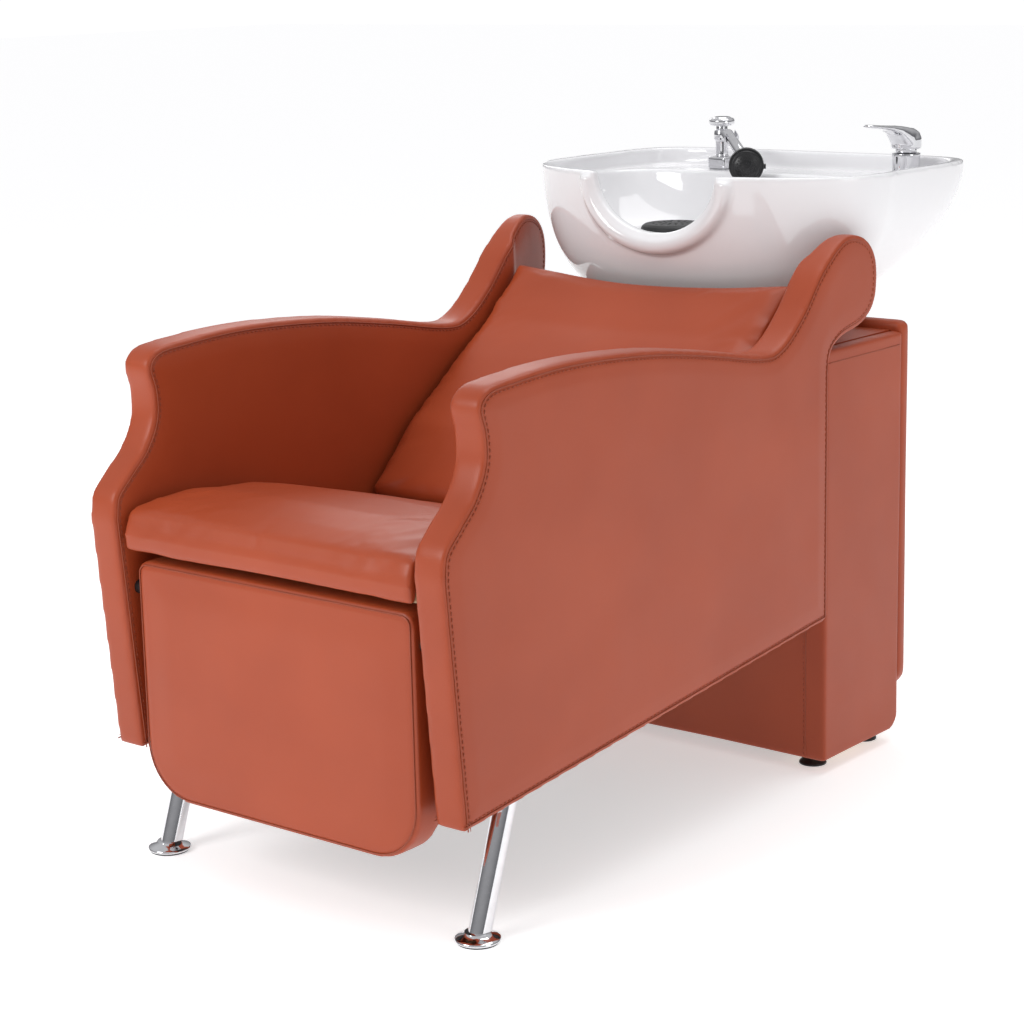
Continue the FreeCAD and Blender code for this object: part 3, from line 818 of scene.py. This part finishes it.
def make_feet():
    for name, side in (("left", -1), ("right", 1)):
        foot = [(0, 2), (28, 2), (29.6, 2.8), (30, 4.5), (29.2, 6.2), (26, 8), (21, 10),
                (18, 12.2), (16.8, 14), (0, 14)]
        piece = lathe("foot_" + name, foot, at(side * 279, 85, 0), "chrome", "frame",
                      edge=0.3)
        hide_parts("leg_foot_" + name)


def make_breaker():
    base = at(BREAKER_X, TAP_STATION, 0)
    block = prism("block", [(-0.017, -0.017), (0.017, -0.017), (0.017, 0.017),
                            (-0.017, 0.017)], 0.855, 0.875, axis=2)
    face_outwards(block)
    block = bevelled(block, 0.0035, segments=4)
    block.transform(Matrix.Translation(base))
    piece = link_mesh("breaker_block", block, "chrome", "basin_head")
    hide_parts("breaker_base")
    column = [(0, 875), (10.8, 875), (10.8, 877), (10.2, 878), (10.2, 899), (11.4, 901),
              (12.8, 904), (12.9, 911), (11.8, 917), (9.2, 919.5), (9.2, 924), (0, 924)]
    piece = lathe("breaker_column", column, base, "chrome", "basin_head", edge=0.6)
    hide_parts("breaker_body")
    cap = [(0, 924), (14, 924), (19, 925.5), (20.8, 928), (20.8, 933), (18.5, 936.5),
           (15, 937), (13, 939), (0, 939)]
    piece = lathe("breaker_top", cap, base, "chrome", "basin_head", edge=0.8)
    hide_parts("breaker_cap")


def make_mixer():
    base = at(MIXER_X, TAP_STATION, 0)
    body = [(0, 821), (13.6, 821), (13.6, 855), (23.2, 855), (23.2, 857.5), (21.6, 859),
            (21.6, 885), (22, 886), (22, 891), (17.4, 891), (17.4, 885), (0, 885)]
    piece = lathe("mixer_column", body, base, "chrome", "basin_head", edge=0.6)
    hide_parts("mixer_body")
    sections = [
        (1270, 914, 902, 11), (1262, 925, 899, 18), (1250, 930.5, 898.4, 21),
        (1236, 933, 898.4, 21), (1226, 934.5, 908, 19), (1212, 936, 921, 16.5),
        (1190, 937.5, 929.5, 13.5), (1165, 939.5, 933.5, 12), (1145, 941.5, 936, 11.5),
        (1135, 942.3, 937.5, 9), (1132, 941.5, 938.5, 5)]
    lever = loft_sections(sections, MIXER_X)
    cap = lathe_mesh("cap", [(0, 898.4), (22.8, 898.4), (23.4, 900), (23.4, 914),
                             (20, 923), (12, 929), (0, 931)])
    cap.transform(Matrix.Translation(base))
    mesh = remeshed(join_meshes("handle", [lever, cap]), 0.0013, smooth=8)
    socket = get_points(mesh)
    socket[:, 2] = np.maximum(socket[:, 2], 0.8983)
    set_points(mesh, socket)
    piece = link_mesh("mixer_grip", mesh, "chrome", "mixer_lever")
    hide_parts("mixer_handle")


def loft_sections(sections, x, sides=24):
    """A closed loft along Y from (station, top, bottom, half width) rounded sections."""
    points, faces = [], []
    for station, top, bottom, half in sections:
        middle, rise = (top + bottom) / 2, (top - bottom) / 2
        for k in range(sides):
            angle = 2 * math.pi * k / sides
            across = math.copysign(abs(math.cos(angle)) ** 0.7, math.cos(angle))
            up = math.copysign(abs(math.sin(angle)) ** 0.7, math.sin(angle))
            points.append(at(x + half * across, station, middle + rise * up))
    for ring in range(len(sections) - 1):
        for k in range(sides):
            beside = (k + 1) % sides
            faces.append((ring * sides + k, ring * sides + beside,
                          (ring + 1) * sides + beside, (ring + 1) * sides + k))
    last = (len(sections) - 1) * sides
    faces.append(tuple(range(sides))[::-1])
    faces.append(tuple(range(last, last + sides)))
    mesh = mesh_from("loft", points, faces)
    face_outwards(mesh)
    return mesh


def make_handset():
    facing = Vector((0.556, -0.831, 0)).normalized()
    back = at(-45, 1180, 870)
    head = [(0, 0.3), (21, 0.3), (26, 2.5), (27.9, 7), (27.9, 18), (27.2, 19), (27.2, 20.5),
            (27.9, 21.5), (27.6, 26), (0, 26)]
    piece = lathe("spray_head", head, back, "black_plastic", "handset",
                  direction=facing, edge=0.7)
    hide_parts("handset_head")
    plate = [(0, 26), (24, 26), (24, 28.2), (22.8, 29.6), (20, 29.8), (19.3, 28.9),
             (18.6, 29.8), (0, 29.9)]
    disc = lathe_mesh("plate", plate)
    nozzles = [disc]
    for ring, count in ((5, 6), (10, 12), (15, 18)):
        for k in range(count):
            angle = 2 * math.pi * k / count
            dot = lathe_mesh("nozzle", [(0, 29.6), (1.1, 29.6), (0.8, 30.9), (0, 30.9)], 8)
            dot.transform(Matrix.Translation((ring * math.cos(angle) / 1000,
                                              ring * math.sin(angle) / 1000, 0)))
            nozzles.append(dot)
    mesh = join_meshes("spray_plate", nozzles)
    turn = Vector((0, 0, 1)).rotation_difference(facing).to_matrix().to_4x4()
    mesh.transform(Matrix.Translation(back) @ turn)
    piece = link_mesh("spray_plate", mesh, "black_plastic", "handset")
    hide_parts("handset_face")
    start, end = at(-116, 1232, 914), at(-45, 1180, 876)
    length = (end - start).length * 1000
    handle = [(0, 0), (7.4, 0.4), (8.6, 2.2), (8.8, 20), (8.3, 28), (8.6, 40),
              (8.9, length - 10), (0, length - 6)]
    piece = lathe("spray_handle", handle, start, "chrome", "handset",
                  direction=end - start, edge=0.5)
    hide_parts("handset_handle")


def make_strainer():
    """Rubber strainer with slots round its wall and rings of holes in its top."""
    low = 750.3
    profile = [(48, low), (52, low), (52, low + 31), (50, low + 36), (45, low + 39.4),
               (30, low + 39.8), (0, low + 40), (0, low + 36), (44, low + 35.5), (48, low + 31)]
    mesh = bevelled(lathe_mesh("strainer", profile), 0.001)
    cutters = []
    for k in range(24):
        angle = 2 * math.pi * k / 24
        slot = prism("slot", [(0.044, -0.0018), (0.056, -0.0018), (0.056, 0.0018),
                              (0.044, 0.0018)], (low + 6) / 1000, (low + 27) / 1000, axis=2)
        face_outwards(slot)
        slot.transform(Matrix.Rotation(angle, 4, "Z"))
        cutters.append(slot)
    for ring, count in ((12, 6), (22, 12), (33, 18)):
        for k in range(count):
            angle = 2 * math.pi * (k + 0.5) / count
            hole = lathe_mesh("hole", [(0, low + 33), (2.4, low + 33), (2.4, low + 42),
                                       (0, low + 42)], 12)
            hole.transform(Matrix.Translation((ring * math.cos(angle) / 1000,
                                               ring * math.sin(angle) / 1000, 0)))
            cutters.append(hole)
    mesh = boolean(mesh, join_meshes("cutters", cutters))
    mesh.transform(Matrix.Translation(at(-83, 1033, 0)))
    piece = link_mesh("strainer_dome", mesh, "black_rubber", "drain_strainer")
    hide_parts("strainer")


def boolean(mesh, cutter):
    """The mesh with the cutter's volume taken away."""
    tool = bpy.data.objects.new("cutter", cutter)
    bpy.context.scene.collection.objects.link(tool)
    result = apply_modifiers(mesh, ("BOOLEAN", {"object": tool, "operation": "DIFFERENCE",
                                                "solver": "EXACT"}))
    bpy.data.objects.remove(tool)
    return result


def make_glides():
    """Black levelling glides with a flared foot and a plain round stem."""
    pieces = []
    for x, station in ((-250, 916), (250, 916), (-250, 1062), (250, 1062)):
        foot = [(0, 0), (20.4, 0), (21, 1), (20.6, 3), (15, 9), (13, 13), (12, 14), (6, 14),
                (5, 15), (5, 19.8), (0, 19.8)]
        mesh = bevelled(lathe_mesh("glide", foot, 48), 0.0004)
        mesh.transform(Matrix.Translation(at(x, station, 0)))
        pieces.append(mesh)
    glides = link_mesh("levelling_glides", join_meshes("glides", pieces), "black_plastic",
                       "frame")
    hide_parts("pedestal_glides")


# ---------------------------------------------------------------- stage

def make_camera():
    """The camera, with a long lens and a slight roll."""
    azimuth, pitch, roll = (math.radians(angle) for angle in (39.188, 12.858, -1.302))
    forward = Vector((-math.sin(azimuth) * math.cos(pitch), math.cos(azimuth) * math.cos(pitch),
                      -math.sin(pitch)))
    right = Vector((math.cos(azimuth), math.sin(azimuth), 0))
    up = right.cross(forward)
    turned_right = right * math.cos(roll) + up * math.sin(roll)
    turned_up = up * math.cos(roll) - right * math.sin(roll)
    basis = Matrix((turned_right, turned_up, -forward)).transposed().to_4x4()
    data = bpy.data.cameras.new("camera")
    data.lens = 86.51
    data.sensor_width = 36
    camera = bpy.data.objects.new("camera", data)
    bpy.context.scene.collection.objects.link(camera)
    camera.matrix_world = Matrix.Translation(at(2148.2, -2120.8, 1211.3)) @ basis
    bpy.context.scene.camera = camera


def area_light(name, place, target, size, power, color=(1, 1, 1)):
    data = bpy.data.lights.new(name, "AREA")
    data.shape = "RECTANGLE"
    data.size, data.size_y = size
    data.energy = power
    data.color = color
    lamp = bpy.data.objects.new(name, data)
    bpy.context.scene.collection.objects.link(lamp)
    lamp.location = place
    direction = Vector(target) - Vector(place)
    lamp.rotation_euler = direction.to_track_quat("-Z", "Y").to_euler()


def make_stage():
    floor = bpy.data.meshes.new("floor")
    floor.from_pydata([(-30, -30, 0), (30, -30, 0), (30, 30, 0), (-30, 30, 0)], [],
                      [(0, 1, 2, 3)])
    ground = bpy.data.objects.new("floor", floor)
    bpy.context.scene.collection.objects.link(ground)
    pale = new_material("floor", (0.93, 0.93, 0.93), 0.8, Emission_Strength=0.46)
    pale.node_tree.nodes["Principled BSDF"].inputs["Emission Color"].default_value = (1, 1, 1, 1)
    floor.materials.append(pale)
    make_world()
    centre = (0, 0, 0.5)
    area_light("key", (-1.0, -3.4, 2.2), centre, (1.6, 1.6), 56)
    area_light("fill", (3.6, -0.4, 1.6), centre, (1.4, 2.4), 15)
    area_light("top", (0.2, 0.8, 3.4), centre, (2.6, 2.0), 36)
    area_light("rim", (-2.6, 2.4, 2.2), (0, 0.4, 0.8), (1.2, 1.6), 12)
    bpy.context.scene.view_settings.view_transform = "Standard"


def make_world():
    """White behind the object; grey studio walls, darker near the ground, light the rest."""
    world = bpy.data.worlds.new("world")
    world.use_nodes = True
    tree = world.node_tree
    walls = tree.nodes["Background"]
    white = tree.nodes.new("ShaderNodeBackground")
    white.inputs["Color"].default_value = (1, 1, 1, 1)
    white.inputs["Strength"].default_value = 1.05
    ramp = tree.nodes.new("ShaderNodeValToRGB")
    ramp.color_ramp.elements[0].position = 0.5
    ramp.color_ramp.elements[0].color = (0.16, 0.16, 0.17, 1)
    ramp.color_ramp.elements[1].position = 0.78
    ramp.color_ramp.elements[1].color = (0.62, 0.62, 0.63, 1)
    direction = tree.nodes.new("ShaderNodeTexCoord")
    split = tree.nodes.new("ShaderNodeSeparateXYZ")
    half = tree.nodes.new("ShaderNodeMapRange")
    half.inputs["From Min"].default_value = -1
    rays = tree.nodes.new("ShaderNodeLightPath")
    choose = tree.nodes.new("ShaderNodeMixShader")
    tree.links.new(direction.outputs["Generated"], split.inputs["Vector"])
    tree.links.new(split.outputs["Z"], half.inputs["Value"])
    tree.links.new(half.outputs["Result"], ramp.inputs["Fac"])
    tree.links.new(ramp.outputs["Color"], walls.inputs["Color"])
    tree.links.new(rays.outputs["Is Camera Ray"], choose.inputs["Fac"])
    tree.links.new(walls.outputs["Background"], choose.inputs[1])
    tree.links.new(white.outputs["Background"], choose.inputs[2])
    tree.links.new(choose.outputs["Shader"], tree.nodes["World Output"].inputs["Surface"])
    bpy.context.scene.world = world


finish_nodes()
make_camera()
make_stage()
for arm_side, arm_sign in (("left", -1), ("right", 1)):
    make_arm(arm_side, arm_sign)
make_seat()
make_back()
make_footrest()
make_pedestal()
make_basin()
make_bellows()
make_feet()
make_breaker()
make_mixer()
make_handset()
make_strainer()
make_glides()
